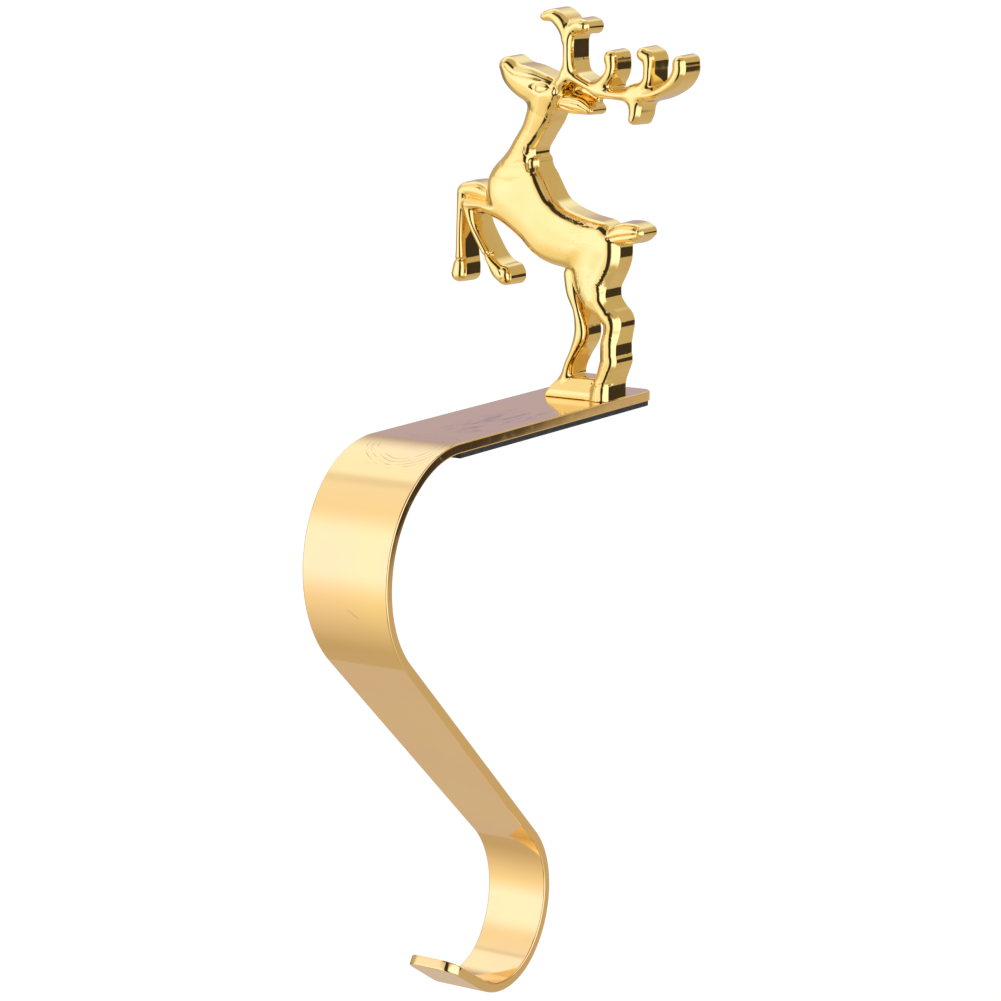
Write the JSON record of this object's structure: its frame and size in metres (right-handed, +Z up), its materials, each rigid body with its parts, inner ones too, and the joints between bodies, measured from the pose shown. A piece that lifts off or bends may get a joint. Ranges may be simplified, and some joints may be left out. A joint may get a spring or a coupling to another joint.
{
  "type": "mantel stocking holder",
  "caption": "Bent tapered strip hook that rests on a mantel shelf and carries a stocking, with a rearing reindeer figure standing on its plate.",
  "frame": {"origin": "centre of the pad's underside, the face that lies on the mantel", "axes": "+X across the strip, to the right seen from the front; +Y back over the mantel shelf; +Z up"},
  "size_m": [0.0542, 0.0945, 0.1889],
  "materials": {
    "strip": "polished gold-coloured plating on steel strip",
    "figure": "mirror-bright gold-coloured plating on a zinc casting",
    "pad": "matt black anti-slip pad",
    "screw": "zinc-coated steel"
  },
  "bodies": {
    "root": {"hook_strip": "strip", "reindeer_figure": "figure", "anti_slip_pad": "pad", "fixing_screws": "screw"}
  },
  "joints": []
}
